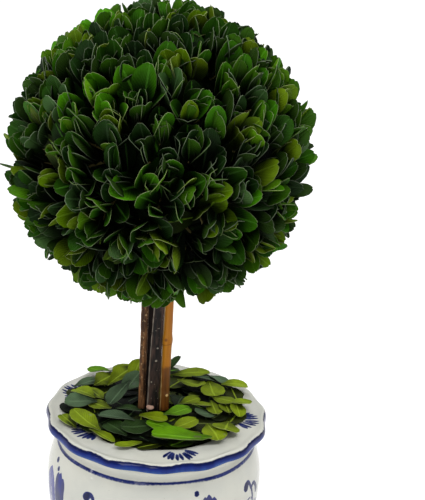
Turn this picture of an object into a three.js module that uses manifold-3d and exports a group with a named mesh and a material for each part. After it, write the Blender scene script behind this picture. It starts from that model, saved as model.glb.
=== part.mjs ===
import * as THREE from 'three';
import { mergeVertices } from 'three/addons/utils/BufferGeometryUtils.js';
import Module from 'manifold-3d';

// A clipped ball of preserved box foliage on a bundle of four bare stems, standing in a
// blue-and-white glazed pot whose top is covered with loose box leaves.
//
// Millimetres, +Z up. The origin is the centre of the pot's flat underside. The side that is
// seen first, with the orange stem on the right of the bundle, faces -Y.

// The pot: heights above its underside, radii from its axis.
const POT_HEIGHT = 93;
const RIM_RADIUS = 50.9; // mean radius of the scalloped lip
const RIM_LOBES = 15;
const LOBE_DEPTH = 0.6; // how far a lobe's corner stands out past the mean
const LOBE_TURN = 2.5; // degrees from the front to the nearest corner, towards +X
const LIP_HEIGHT = 4.6;
const FLANGE_INNER = 34; // mouth of the pot, inside the broad flat rim
const FLANGE_DROP = 1.2; // the rim slopes down this far to the mouth
const NECK_RADIUS = 45.2;
const NECK_Z = 83;
const BELLY_RADIUS = 49.7;
const BELLY_Z = 62;
const FOOT_RADIUS = 34.5;
const FOOT_Z = 4.5;
const POT_WALL = 4.5;
const POT_FLOOR = 6;

// What fills the pot, and the heap of leaves on it.
const FILLING_TOP = 84.5;
const COVER_EDGE = 33.5; // radius of the heap's body, inside the pot's mouth
const COVER_SIDE = 0.8; // how far the edge of the heap's body stands above the rim
const COVER_CROWN = 5; // how far its middle stands above that
const COVER_REACH = 44; // leaf tips lie over the rim this far out
const COVER_LEAVES = 56;

// The ball of foliage.
const BALL_X = -3.9; // its centre, a little beside the pot's axis
const BALL_Z = POT_HEIGHT + 124.9;
const BALL_REACH = 66.7; // leaf tips end here
const CORE_RADIUS = 54;
const TWIGS = 60;
const TWIG_END = 60; // distance of a twig's end from the ball's centre
const TWIG_LIFT = 0.1; // how much a twig leans up from the straight way out
const LEAF_PAIRS = [ // share of the twig's length, and angle from the twig
  { at: 0.5, spread: 1.25 },
  { at: 0.73, spread: 0.98 },
  { at: 0.94, spread: 0.5 },
];

// One box leaf, larger than life so that fewer of them close the ball.
const LEAF_LENGTH = 20;
const LEAF_WIDTH = 15;
const LEAF_THICKNESS = 1.3;

// The stems: where each one's axis crosses the top of the leaf heap and the underside of the
// ball, and its radii at those two heights. They run on straight into blind sockets.
const STEM_LOW_Z = 98;
const STEM_HIGH_Z = 146;
const STEM_FOOT_Z = 46;
const STEM_HEAD_Z = 174;
const STEMS = {
  stem_left: { low: [-7.25, -1], high: [-7.45, -1], radii: [1.6, 1.75], colour: 0x5a3218 },
  stem_middle: { low: [-2.3, -3], high: [-1.3, -3], radii: [2.85, 2.45], colour: 0x2a1c22 },
  stem_right: { low: [3, -1], high: [3.4, -1], radii: [2.25, 2.05], colour: 0xa5601c },
  stem_back: { low: [-4.9, 2.6], high: [-4.6, 2.5], radii: [1.75, 1.6], colour: 0x1f140f },
};
const KNOT_Z = 130; // a node on the orange stem
const KNOT_SWELL = 0.35;

const GAP = 0.3; // left between pieces that touch
const SEED = 20417;

const wasm = await Module();
wasm.setup();

// A closed geometry as a solid that can be joined and cut.
function solid(geometry) {
  geometry.deleteAttribute('normal');
  geometry.deleteAttribute('uv');
  const merged = mergeVertices(geometry, 1e-4);
  return new wasm.Manifold(new wasm.Mesh({
    numProp: 3,
    vertProperties: new Float32Array(merged.attributes.position.array),
    triVerts: new Uint32Array(merged.index.array),
  }));
}

// The solid's largest body as a geometry: loose scraps and sealed hollows are left behind.
function geometryOf(body) {
  const parts = body.decompose().sort((a, b) => b.volume() - a.volume());
  const mesh = parts[0].getMesh();
  const geometry = new THREE.BufferGeometry();
  geometry.setAttribute('position', new THREE.BufferAttribute(mesh.vertProperties, 3));
  geometry.setIndex(new THREE.BufferAttribute(mesh.triVerts, 1));
  geometry.computeVertexNormals();
  return geometry;
}

// Seeded numbers between 0 and 1.
function randomFrom(seed) {
  let state = seed >>> 0;
  return () => {
    state = (state + 0x6d2b79f5) >>> 0;
    let t = Math.imul(state ^ (state >>> 15), 1 | state);
    t = (t + Math.imul(t ^ (t >>> 7), 61 | t)) ^ t;
    return ((t ^ (t >>> 14)) >>> 0) / 4294967296;
  };
}

function part(name, geometry, colour, roughness) {
  const material = new THREE.MeshStandardMaterial({ color: colour, roughness, metalness: 0 });
  const mesh = new THREE.Mesh(geometry, material);
  mesh.name = name;
  return mesh;
}

// A profile of [radius, height] pairs, turned about the vertical axis.
function turned(profile, segments) {
  const points = profile.map(([r, z]) => new THREE.Vector2(r, z));
  return new THREE.LatheGeometry(points, segments).rotateX(Math.PI / 2);
}

// Outside of the pot between foot and neck: a quarter wave up to the belly, another to the neck.
function bodyRadius(z) {
  if (z < BELLY_Z) {
    const rise = Math.sin((Math.PI / 2) * (z - FOOT_Z) / (BELLY_Z - FOOT_Z));
    return FOOT_RADIUS + (BELLY_RADIUS - FOOT_RADIUS) * Math.max(rise, 0);
  }
  const fall = Math.cos((Math.PI / 2) * Math.min((z - BELLY_Z) / (NECK_Z - BELLY_Z), 1));
  return NECK_RADIUS + (BELLY_RADIUS - NECK_RADIUS) * fall;
}

// Heights from one level to another, without the first.
function levels(from, to, count) {
  return Array.from({ length: count }, (_, i) => from + (to - from) * (i + 1) / count);
}

// The hollow of the pot up to the filling's top, shrunk by a clearance, from the floor's middle
// upwards.
function hollowProfile(clearance) {
  const floor = POT_FLOOR + clearance;
  const corner = POT_FLOOR + 3;
  const wall = (z) => [bodyRadius(z) - POT_WALL - clearance, z];
  return [[0, floor], [wall(corner)[0] - 2.5, floor],
    ...[corner, ...levels(corner, BELLY_Z, 3), ...levels(BELLY_Z, FILLING_TOP, 2)].map(wall)];
}

function makePot() {
  const lipZ = POT_HEIGHT - LIP_HEIGHT;
  const outside = [[0, 0], [FOOT_RADIUS - 1.5, 0], [FOOT_RADIUS - 0.5, 1],
    [FOOT_RADIUS - 0.5, FOOT_Z],
    ...levels(FOOT_Z, BELLY_Z, 5).map((z) => [bodyRadius(z), z]),
    ...levels(BELLY_Z, NECK_Z, 3).map((z) => [bodyRadius(z), z])];
  const lip = [[NECK_RADIUS, lipZ - 1.2], [RIM_RADIUS - 1.4, lipZ], [RIM_RADIUS, lipZ + 1],
    [RIM_RADIUS, POT_HEIGHT - 0.9], [RIM_RADIUS - 1, POT_HEIGHT]];
  const flange = [[FLANGE_INNER + 1.2, POT_HEIGHT - FLANGE_DROP],
    [FLANGE_INNER, POT_HEIGHT - FLANGE_DROP - 1], [FLANGE_INNER, lipZ]];
  const inside = hollowProfile(0).reverse();
  const geometry = turned([...outside, ...lip, ...flange, ...inside], RIM_LOBES * 4);

  // The lip is scalloped: each lobe bows in between two corners. The wave fades out towards the
  // pot's mouth and down the neck.
  const position = geometry.attributes.position;
  for (let i = 0; i < position.count; i += 1) {
    const [x, y, z] = [position.getX(i), position.getY(i), position.getZ(i)];
    const radius = Math.hypot(x, y);
    const share = THREE.MathUtils.smoothstep(radius, NECK_RADIUS + 0.5, RIM_RADIUS - 1)
      * THREE.MathUtils.smoothstep(z, NECK_Z, lipZ);
    const wave = Math.cos(RIM_LOBES * (Math.atan2(y, x) + Math.PI / 2));
    const scale = radius > 0 ? 1 + LOBE_DEPTH * share * wave / radius : 1;
    position.setXYZ(i, x * scale, y * scale, z);
  }
  return geometry.rotateZ(THREE.MathUtils.degToRad(LOBE_TURN));
}

// A limb with a round section: rings of points round a curve, closed at both ends.
function limb(curve, radiusAt, sides, steps) {
  const points = [];
  const faces = [];
  for (let i = 0; i <= steps; i += 1) {
    const centre = curve.getPoint(i / steps);
    const along = curve.getTangent(i / steps);
    const hint = Math.abs(along.z) < 0.9 ? new THREE.Vector3(0, 0, 1) : new THREE.Vector3(1, 0, 0);
    const u = new THREE.Vector3().crossVectors(hint, along).normalize();
    const v = new THREE.Vector3().crossVectors(along, u);
    for (let k = 0; k < sides; k += 1) {
      const turn = 2 * Math.PI * k / sides;
      const radius = radiusAt(centre, i / steps);
      points.push(centre.clone()
        .addScaledVector(u, radius * Math.cos(turn))
        .addScaledVector(v, radius * Math.sin(turn)));
    }
  }
  for (let i = 0; i < steps; i += 1) {
    for (let k = 0; k < sides; k += 1) {
      const [a, b] = [i * sides + k, i * sides + (k + 1) % sides];
      faces.push(a, b, b + sides, a, b + sides, a + sides);
    }
  }
  const last = steps * sides;
  for (let k = 1; k < sides - 1; k += 1) {
    faces.push(0, k + 1, k, last, last + k, last + k + 1);
  }
  const geometry = new THREE.BufferGeometry().setFromPoints(points);
  geometry.setIndex(faces);
  geometry.computeVertexNormals();
  return geometry;
}

// One stem, or with a clearance the room that it needs in a socket.
function makeStem({ low, high, radii }, knotted, clearance = 0) {
  const curve = new THREE.CatmullRomCurve3([
    new THREE.Vector3(low[0], low[1], STEM_FOOT_Z - clearance),
    new THREE.Vector3(low[0], low[1], STEM_LOW_Z),
    new THREE.Vector3(high[0], high[1], STEM_HIGH_Z),
    new THREE.Vector3(high[0], high[1], STEM_HEAD_Z + clearance),
  ], false, 'centripetal');
  const radiusAt = ({ z }) => {
    const rise = THREE.MathUtils.smoothstep(z, STEM_LOW_Z, STEM_HIGH_Z);
    const swell = knotted ? KNOT_SWELL * Math.exp(-(((z - KNOT_Z) / 2.5) ** 2)) : 0;
    return radii[0] + (radii[1] - radii[0]) * rise + swell + clearance;
  };
  return limb(curve, radiusAt, 8, knotted ? 18 : 10);
}

// A box leaf along +X with its upper face to +Z: rounded at the tip, narrow at the root, thick
// along the midrib and dished, as two fans between one outline and two points on the midrib.
function makeLeaf(length, width) {
  const outline = [[0, 0], [0.6, -0.48], [1, -0.2], [0.97, 0.24], [0.6, 0.48]];
  const points = outline.map(([x, y]) => new THREE.Vector3(x * length, y * width, 0));
  const dish = -0.05 * length;
  points.push(new THREE.Vector3(0.55 * length, 0, dish + LEAF_THICKNESS / 2));
  points.push(new THREE.Vector3(0.55 * length, 0, dish - LEAF_THICKNESS / 2));
  const faces = [];
  outline.forEach((_, k) => {
    const next = (k + 1) % outline.length;
    faces.push(k, next, outline.length, next, k, outline.length + 1);
  });
  const geometry = new THREE.BufferGeometry().setFromPoints(points);
  geometry.setIndex(faces);
  return geometry;
}

// A leaf placed with its root at a point, its length along one way and its face turned as near
// as can be to another.
function placedLeaf(root, along, face, length, width) {
  const x = along.clone().normalize();
  const y = new THREE.Vector3().crossVectors(face, x).normalize();
  const z = new THREE.Vector3().crossVectors(x, y);
  const matrix = new THREE.Matrix4().makeBasis(x, y, z).setPosition(root);
  return makeLeaf(length, width).applyMatrix4(matrix);
}

// The ball: twigs stand out of a round core, evenly spread by the golden angle and a little
// shaken. Each bears pairs of opposite leaves, every pair turned by a quarter from the one
// below it and standing closer to the twig. Nothing grows where the stems come in.
function makeBall(stemRoom) {
  const random = randomFrom(SEED);
  const shake = (size) => (random() - 0.5) * 2 * size;
  const bodies = [solid(new THREE.IcosahedronGeometry(CORE_RADIUS, 3))];
  const golden = Math.PI * (3 - Math.sqrt(5));
  for (let i = 0; i < TWIGS; i += 1) {
    const height = 1 - (2 * i + 1) / TWIGS;
    const turn = i * golden;
    const flat = Math.sqrt(1 - height * height);
    const out = new THREE.Vector3(flat * Math.cos(turn) + shake(0.05),
      flat * Math.sin(turn) + shake(0.05), height + shake(0.05)).normalize();
    const start = out.clone().multiplyScalar(CORE_RADIUS - 5);
    const way = out.clone().add(new THREE.Vector3(shake(0.08), shake(0.08), TWIG_LIFT)).normalize();
    const reach = TWIG_END - CORE_RADIUS + 5 + shake(1);
    const end = start.clone().addScaledVector(way, reach);
    if (out.z < -0.95) continue;
    bodies.push(solid(limb(new THREE.LineCurve3(start, end), (_, t) => 1.5 - 0.5 * t, 3, 1)));

    const side = new THREE.Vector3(0, 0, 1).cross(way).normalize()
      .applyAxisAngle(way, 2 * Math.PI * random());
    LEAF_PAIRS.forEach(({ at, spread }, pair) => {
      const node = start.clone().addScaledVector(way, reach * at);
      const across = side.clone().applyAxisAngle(way, pair * Math.PI / 2);
      for (const hand of [-1, 1]) {
        const angle = hand * (spread + shake(0.12));
        const along = way.clone().multiplyScalar(Math.cos(angle))
          .addScaledVector(across, Math.sin(angle));
        const face = way.clone().multiplyScalar(Math.abs(Math.sin(angle)))
          .addScaledVector(across, -hand * Math.cos(angle));
        addLeaf(bodies, node, along, face, LEAF_LENGTH * (1 + shake(0.1)));
      }
    });
  }
  return wasm.Manifold.union(bodies).subtract(stemRoom);
}

// A leaf is shortened to end inside the ball's reach, and one that would be left much too short
// is skipped.
function addLeaf(bodies, root, along, face, length) {
  const way = along.clone().normalize();
  const outward = root.dot(way);
  const room = Math.sqrt(outward * outward + BALL_REACH ** 2 - root.lengthSq()) - outward;
  const fitted = Math.min(length, room);
  if (fitted < 0.45 * LEAF_LENGTH) return;
  const width = LEAF_WIDTH * Math.min(1, 0.35 + 0.65 * fitted / LEAF_LENGTH);
  bodies.push(solid(placedLeaf(root, way, face, fitted, width)));
}

// Height that a leaf has to clear at a radius: the rim's upper face, and level across the mouth.
function rimTop(radius) {
  const mouth = FLANGE_INNER + 1.2;
  const outwards = (Math.max(radius, mouth) - mouth) / (RIM_RADIUS - 1 - mouth);
  return POT_HEIGHT - FLANGE_DROP * (1 - outwards);
}

// Lifts a leaf until none of its points stands lower than the rim plus the gap.
function liftedClear(geometry) {
  const { position } = geometry.attributes;
  let lack = 0;
  for (let i = 0; i < position.count; i += 1) {
    const radius = Math.hypot(position.getX(i), position.getY(i));
    lack = Math.max(lack, rimTop(radius) + GAP - position.getZ(i));
  }
  return geometry.translate(0, 0, lack);
}

// The leaf heap: a low mound that fills the pot's mouth, with loose leaves lying on it like
// shingles. They are dealt out by the golden angle. A leaf is turned until its tip neither
// passes the reach nor comes close to the stems.
function makeCover(stemRoom) {
  const random = randomFrom(SEED + 1);
  const shake = (size) => (random() - 0.5) * 2 * size;
  const edge = POT_HEIGHT + COVER_SIDE;
  const moundTop = (r) => edge + COVER_CROWN * Math.cos((Math.PI / 2) * r / COVER_EDGE);
  const base = FILLING_TOP + GAP;
  const mound = turned([[0, base], [COVER_EDGE, base], [COVER_EDGE, edge - 0.6],
    ...levels(COVER_EDGE, 0, 4).map((r) => [r, moundTop(r)])], 24);
  const bodies = [solid(mound)];
  const golden = Math.PI * (3 - Math.sqrt(5));
  for (let i = 0; i < COVER_LEAVES; i += 1) {
    const r = 6 + (COVER_EDGE - 7) * Math.sqrt((i + 0.5) / COVER_LEAVES);
    const turn = i * golden;
    const root = new THREE.Vector3(r * Math.cos(turn), r * Math.sin(turn), moundTop(r) - 0.9);
    const pitch = 0.2 + shake(0.12);
    const length = LEAF_LENGTH * (0.88 + shake(0.1));
    const face = new THREE.Vector3(shake(0.2), shake(0.2), 1);
    for (let tries = 0; tries < 8; tries += 1) {
      const heading = turn + shake(0.6 + 0.3 * tries);
      const along = new THREE.Vector3(Math.cos(heading) * Math.cos(pitch),
        Math.sin(heading) * Math.cos(pitch), Math.sin(pitch));
      const tip = root.clone().addScaledVector(along, length);
      const out = Math.hypot(tip.x, tip.y);
      if (out > COVER_REACH || out < 12) continue;
      const leaf = placedLeaf(root, along, face, length, LEAF_WIDTH * 0.8);
      bodies.push(solid(liftedClear(leaf)));
      break;
    }
  }
  return wasm.Manifold.union(bodies).subtract(stemRoom);
}

const plant = new THREE.Group();
const stems = Object.entries(STEMS);
const isKnotted = (name) => name === 'stem_right';
const stemRoom = wasm.Manifold.union(
  stems.map(([name, stem]) => solid(makeStem(stem, isKnotted(name), GAP))));

plant.add(part('pot', geometryOf(solid(makePot())), 0xdcddd6, 0.15));
const filling = solid(turned([...hollowProfile(GAP), [0, FILLING_TOP]], 24));
plant.add(part('pot_filling', geometryOf(filling.subtract(stemRoom)), 0x3a3026, 0.95));
plant.add(part('leaf_cover', geometryOf(makeCover(stemRoom)), 0x5f7d27, 0.6));
for (const [name, stem] of stems) {
  plant.add(part(name, makeStem(stem, isKnotted(name)), stem.colour, 0.7));
}
const roomInBall = stemRoom.translate([-BALL_X, 0, -BALL_Z]);
const ball = part('foliage_ball', geometryOf(makeBall(roomInBall)), 0x27491d, 0.6);
ball.position.set(BALL_X, 0, BALL_Z);
plant.add(ball);

export default plant;
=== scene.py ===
import bpy
import numpy as np
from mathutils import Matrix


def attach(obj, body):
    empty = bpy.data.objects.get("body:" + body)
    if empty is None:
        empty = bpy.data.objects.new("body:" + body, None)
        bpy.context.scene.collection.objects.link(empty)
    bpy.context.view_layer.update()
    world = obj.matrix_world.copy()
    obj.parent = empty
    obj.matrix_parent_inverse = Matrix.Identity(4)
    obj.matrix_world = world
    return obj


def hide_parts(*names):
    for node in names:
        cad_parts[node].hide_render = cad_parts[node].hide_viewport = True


# A clipped ball of preserved box leaves stands on four bare stems in a blue-and-white pot.
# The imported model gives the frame. Each of its plain solids but the hidden filling is replaced
# below by pieces with the real surface. Shapes are worked out in millimetres.
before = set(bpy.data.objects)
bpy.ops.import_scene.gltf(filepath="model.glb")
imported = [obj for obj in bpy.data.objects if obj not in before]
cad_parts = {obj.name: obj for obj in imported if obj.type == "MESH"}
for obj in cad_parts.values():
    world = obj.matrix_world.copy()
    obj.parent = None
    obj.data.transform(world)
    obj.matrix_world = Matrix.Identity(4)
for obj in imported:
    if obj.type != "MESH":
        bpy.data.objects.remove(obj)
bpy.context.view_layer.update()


# STUDIO
# A plain pale floor under an even bright room, with a broad lamp on either side above the
# plant, one behind and one in front of it, and a small one low on the left for the glints.
MM = 0.001
PLANT_MIDDLE = (0, 0, 0.15)
ROOM_LIGHT, FLOOR_GLOW = 0.37, 0.77

room = bpy.data.worlds.new("studio_room")
room.use_nodes = True
room.node_tree.nodes["Background"].inputs["Color"].default_value = (1, 1, 1, 1)
room.node_tree.nodes["Background"].inputs["Strength"].default_value = ROOM_LIGHT
bpy.context.scene.world = room
bpy.context.scene.view_settings.view_transform = "Standard"


def placed_at(thing, place, x, y, z):
    """Stands a lamp or camera at a place with its own axes along x, y and z."""
    holder = bpy.data.objects.new(thing.name, thing)
    bpy.context.collection.objects.link(holder)
    turn = np.eye(4)
    turn[:3] = np.stack([x, y, z, place], axis=1)
    holder.matrix_world = turn.T.tolist()
    return holder


def unit(vectors):
    """The same ways with a length of 1."""
    return vectors / np.linalg.norm(vectors, axis=-1, keepdims=True)


def soft_lamp(name, place, size, watts):
    """A square lamp that faces the plant: its z axis runs from the plant to the lamp."""
    lamp = bpy.data.lights.new(name, "AREA")
    lamp.shape, lamp.size, lamp.energy = "SQUARE", size, watts
    z = unit(np.subtract(place, PLANT_MIDDLE))
    x = unit(np.cross([0.1, 1, 0], z))
    placed_at(lamp, place, x, np.cross(z, x), z)


soft_lamp("lamp_high_left", (-0.6, -0.35, 1.5), 0.8, 14)
soft_lamp("lamp_high_right", (0.6, -0.35, 1.5), 0.8, 14.5)
soft_lamp("lamp_back", (0, 0.8, 1.2), 0.8, 7)
soft_lamp("lamp_front", (-0.3, -1.4, 0.5), 0.5, 4.5)
soft_lamp("lamp_left", (-1.0, -0.36, 0.12), 0.07, 0.3)

# The camera stands in front of the plant and higher, on a sloping line from the axis at the
# height of the ball's middle. It looks down that line, turned a little right and down, and
# leans a little to one side.
CAMERA_DISTANCE, FOCAL_LENGTH = 0.7, 115.82
CAMERA_HEIGHT_ANGLE, TURN_RIGHT, TURN_DOWN, LEAN = np.radians([18.646, 1.551, 3.377, -2.753])
BALL_CENTRE_X, BALL_CENTRE_Z = -3.9, 217.9


def turned(one, two, angle):
    """Two directions square to each other, turned in their plane from the first away from the
    second."""
    return (one * np.cos(angle) - two * np.sin(angle), one * np.sin(angle) + two * np.cos(angle))


back = np.array([0, -np.cos(CAMERA_HEIGHT_ANGLE), np.sin(CAMERA_HEIGHT_ANGLE)])
right, ahead = np.array([1.0, 0, 0]), -back
right, up = turned(right, np.cross(right, ahead), LEAN)
right, ahead = turned(right, ahead, TURN_RIGHT)
up, ahead = turned(up, ahead, -TURN_DOWN)
lens = bpy.data.cameras.new("camera")
lens.lens, lens.clip_start, lens.clip_end = FOCAL_LENGTH, 0.05, 20
eye = np.array([0, 0, BALL_CENTRE_Z * MM]) + CAMERA_DISTANCE * back
bpy.context.scene.camera = placed_at(lens, eye, right, up, -ahead)


class Level:
    """A socket of a finish in sums: +, -, * and abs add Math nodes."""

    def __init__(self, finish, socket):
        self.finish, self.socket = finish, socket

    def sum(self, operation, first, second=0.0):
        return self.finish.node("ShaderNodeMath", {0: first, 1: second}, operation=operation)

    def __add__(self, other):
        return self.sum("ADD", self, other)

    __radd__ = __add__

    def __sub__(self, other):
        return self.sum("SUBTRACT", self, other)

    def __rsub__(self, other):
        return self.sum("SUBTRACT", other, self)

    def __mul__(self, other):
        return self.sum("MULTIPLY", self, other)

    __rmul__ = __mul__

    def __abs__(self):
        return self.sum("ABSOLUTE", self)

    def step(self, low, high):
        """0 below low, 1 above high and a smooth S between."""
        return self.finish.node("ShaderNodeMapRange",
                                {"Value": self, "From Min": low, "From Max": high},
                                interpolation_type="SMOOTHSTEP")


class Finish:
    """One material: its colour, relief and gloss are worked out with nodes."""

    def __init__(self, name, roughness, **shader):
        self.material = bpy.data.materials.new(name)
        self.material.use_nodes = True
        self.tree = self.material.node_tree
        self.shader = self.tree.nodes["Principled BSDF"]
        self.shader.inputs["Roughness"].default_value = roughness
        for socket, value in shader.items():
            self.shader.inputs[socket.replace("_", " ")].default_value = value

    def join(self, socket, value):
        """Feeds a socket from a level, a colour or a plain number."""
        if isinstance(value, Level):
            self.tree.links.new(value.socket, socket)
        elif isinstance(value, tuple) and len(value) == 3 and socket.type == "RGBA":
            socket.default_value = (*value, 1)
        else:
            socket.default_value = value

    def node(self, kind, sockets=None, out=0, **settings):
        """Adds a node with its settings, then its sockets' values or links."""
        node = self.tree.nodes.new(kind)
        for key, value in settings.items():
            setattr(node, key, value)
        for key, value in (sockets or {}).items():
            self.join(node.inputs[key], value)
        return Level(self, node.outputs[out])

    def place(self):
        """The point on the piece, in its own metres."""
        return self.node("ShaderNodeTexCoord", out="Object")

    def part(self, vector, axis):
        """One number of a vector: its X, Y or Z."""
        return self.node("ShaderNodeSeparateXYZ", {0: vector}, axis)

    def value_of(self, attribute):
        """A number that the mesh carries at each point."""
        return self.node("ShaderNodeAttribute", out="Fac", attribute_name=attribute)

    def noise(self, per_metre, detail=3.0, stretch=(1, 1, 1)):
        """Cloudy noise between 0 and 1, drawn out along an axis by a small stretch."""
        point = self.node("ShaderNodeVectorMath", {0: self.place(), 1: stretch},
                          operation="MULTIPLY")
        return self.node("ShaderNodeTexNoise",
                         {"Vector": point, "Scale": per_metre, "Detail": detail})

    def mix(self, share, first, second):
        """From the first colour to the second."""
        return self.node("ShaderNodeMix", {0: share, 6: first, 7: second}, 2, data_type="RGBA")

    def scaled(self, colour, share):
        """A colour times a share."""
        return self.node("ShaderNodeVectorMath", {0: colour, "Scale": share}, operation="SCALE")

    def colour(self, value):
        self.join(self.shader.inputs["Base Color"], value)

    def roughness(self, value):
        self.join(self.shader.inputs["Roughness"], value)

    def relief(self, height, metres):
        """Bumps of a height between 0 and 1 times a depth in metres."""
        bump = self.node("ShaderNodeBump",
                         {"Strength": 1.0, "Distance": metres, "Height": height})
        self.join(self.shader.inputs["Normal"], bump)


def paint(red, green, blue):
    """A colour as it is seen, in parts of 255, turned to the shader's even scale."""
    seen = np.array([red, green, blue]) / 255
    even = np.where(seen < 0.04045, seen / 12.92, ((seen + 0.055) / 1.055) ** 2.4)
    return tuple(float(part) for part in even)


def mesh_piece(name, points, faces, finishes, finish_of=None, values=None, blade=None,
               sharp=None):
    """A mesh object from arrays, in millimetres. faces holds rows of 3 or 4 corners, finish_of
    a finish number for each face, values a number for each point by name, blade a UV pair for
    each point, and sharp marks the points whose joining edges stay sharp.
    """
    mesh = bpy.data.meshes.new(name)
    corners = np.concatenate([rows.ravel() for rows in faces]).astype(np.int32)
    counts = np.concatenate([np.full(len(rows), rows.shape[1]) for rows in faces])
    mesh.vertices.add(len(points))
    mesh.vertices.foreach_set("co", (points * MM).astype(np.float32).ravel())
    mesh.loops.add(len(corners))
    mesh.loops.foreach_set("vertex_index", corners)
    mesh.polygons.add(len(counts))
    mesh.polygons.foreach_set("loop_start", (np.cumsum(counts) - counts).astype(np.int32))
    for finish in finishes:
        mesh.materials.append(finish.material)
    if finish_of is not None:
        mesh.polygons.foreach_set("material_index", finish_of.astype(np.int32))
    mesh.update(calc_edges=True)
    for key, numbers in (values or {}).items():
        layer = mesh.attributes.new(key, "FLOAT", "POINT")
        layer.data.foreach_set("value", numbers.astype(np.float32))
    if blade is not None:
        layer = mesh.uv_layers.new(name="blade")
        layer.data.foreach_set("uv", blade[corners].astype(np.float32).ravel())
    if sharp is not None:
        ends = np.empty(2 * len(mesh.edges), np.int32)
        mesh.edges.foreach_get("vertices", ends)
        ends = sharp[ends.reshape(-1, 2)]
        mesh.edges.foreach_set("use_edge_sharp", (ends[:, 0] == ends[:, 1]) & (ends[:, 0] > 0))
    piece = bpy.data.objects.new(name, mesh)
    bpy.context.collection.objects.link(piece)
    return piece


FLOOR_HALF = 60000.0
floor_finish = Finish("studio_floor", roughness=0.9)
cloud = floor_finish.noise(3.0, 2.0)
floor_finish.colour(floor_finish.mix(cloud, (0.3, 0.3, 0.3), (0.34, 0.34, 0.34)))
floor_finish.shader.inputs["Emission Color"].default_value = (1, 1, 1, 1)
floor_finish.shader.inputs["Emission Strength"].default_value = FLOOR_GLOW
floor = mesh_piece("studio_floor", FLOOR_HALF * np.array(
    [[-1, -1, 0], [1, -1, 0], [1, 1, 0], [-1, 1, 0]], float), [np.array([[0, 1, 2, 3]])],
    [floor_finish])


# POT
# A glazed stoneware pot, thrown with a round belly, a short neck and a broad rim whose lip is
# pressed into scallops. The blue is brushed on by hand under a clear wet-looking glaze.
POT_HEIGHT = 93.0
RIM_RADIUS, RIM_LOBES, LOBE_DEPTH, LOBE_TURN, LIP_HEIGHT = 50.9, 15, 0.6, 2.5, 4.6
FLANGE_INNER, FLANGE_DROP = 34.0, 1.2
NECK_RADIUS, NECK_Z = 45.2, 83.0
BELLY_RADIUS, BELLY_Z = 49.7, 62.0
FOOT_RADIUS, FOOT_Z = 34.5, 4.5
POT_WALL, POT_FLOOR, FILLING_TOP = 4.5, 6.0, 84.5
LIP_Z = POT_HEIGHT - LIP_HEIGHT
FRONT = -np.pi / 2


def smooth_step(x, low, high):
    """0 below low, 1 above high, 3t^2 - 2t^3 between."""
    t = np.clip((x - low) / (high - low), 0, 1)
    return t * t * (3 - 2 * t)


def body_radius(z):
    """A quarter sine wave from the foot up to the belly, a quarter cosine on to the neck."""
    rise = np.sin(np.pi / 2 * np.clip((z - FOOT_Z) / (BELLY_Z - FOOT_Z), 0, 1))
    fall = np.cos(np.pi / 2 * np.clip((z - BELLY_Z) / (NECK_Z - BELLY_Z), 0, 1))
    return np.where(z < BELLY_Z, FOOT_RADIUS + (BELLY_RADIUS - FOOT_RADIUS) * rise,
                    NECK_RADIUS + (BELLY_RADIUS - NECK_RADIUS) * fall)


def corners_cut(line, times):
    """Each corner of a line gives way to points a quarter and three quarters along its sides,
    and the line's ends stay."""
    for _ in range(times):
        near = 0.75 * line[:-1] + 0.25 * line[1:]
        far = 0.25 * line[:-1] + 0.75 * line[1:]
        inner = np.stack([near, far], axis=1).reshape(-1, 2)
        line = np.vstack([line[:1], inner, line[-1:]])
    return line


def lattice_noise(points, size, seed):
    """Smooth noise between -1 and 1: random numbers on a cubic lattice of a size, joined by
    smooth steps along each axis in turn."""
    table = np.random.default_rng(seed).uniform(-1, 1, (32, 32, 32))
    cell = np.floor(points / size).astype(int)
    part = points / size - cell
    part = part * part * (3 - 2 * part)
    total = np.zeros(len(points))
    for corner in np.ndindex(2, 2, 2):
        weight = np.prod(np.where(np.array(corner) == 1, part, 1 - part), axis=1)
        i, j, k = ((cell + corner) % 32).T
        total += weight * table[i, j, k]
    return total


def wrapped(angle):
    """The same angle, between half a turn back and half a turn on."""
    return (angle + np.pi) % (2 * np.pi) - np.pi


def round_turn(count):
    """Even angles once round."""
    return 2 * np.pi * np.arange(count) / count


def round_axis(radius, bearing, height):
    """Points at a radius and a bearing round the upright axis, and at a height."""
    return np.stack([radius * np.cos(bearing), radius * np.sin(bearing), height], -1)


def turned_points(radii, heights, around):
    """A grid of points, turned from a line of radii and heights."""
    bearings = np.tile(round_turn(around), len(radii))
    return round_axis(np.repeat(radii, around), bearings, np.repeat(heights, around))


def turned_faces(rows, around):
    """Four-cornered faces of a closed round wall of rows, and fans to two pole points that
    follow its points."""
    row = np.arange(rows - 1)[:, None] * around
    here = np.arange(around)[None, :]
    after = (here + 1) % around
    wall = np.stack([row + here, row + after, row + around + after, row + around + here], -1)
    low, high, top = rows * around, rows * around + 1, (rows - 1) * around
    here, after = here[0], after[0]
    fans = np.stack([np.stack([np.full(around, low), after, here], -1),
                     np.stack([np.full(around, high), top + here, top + after], -1)])
    return wall.reshape(-1, 4), fans.reshape(-1, 3)


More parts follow.
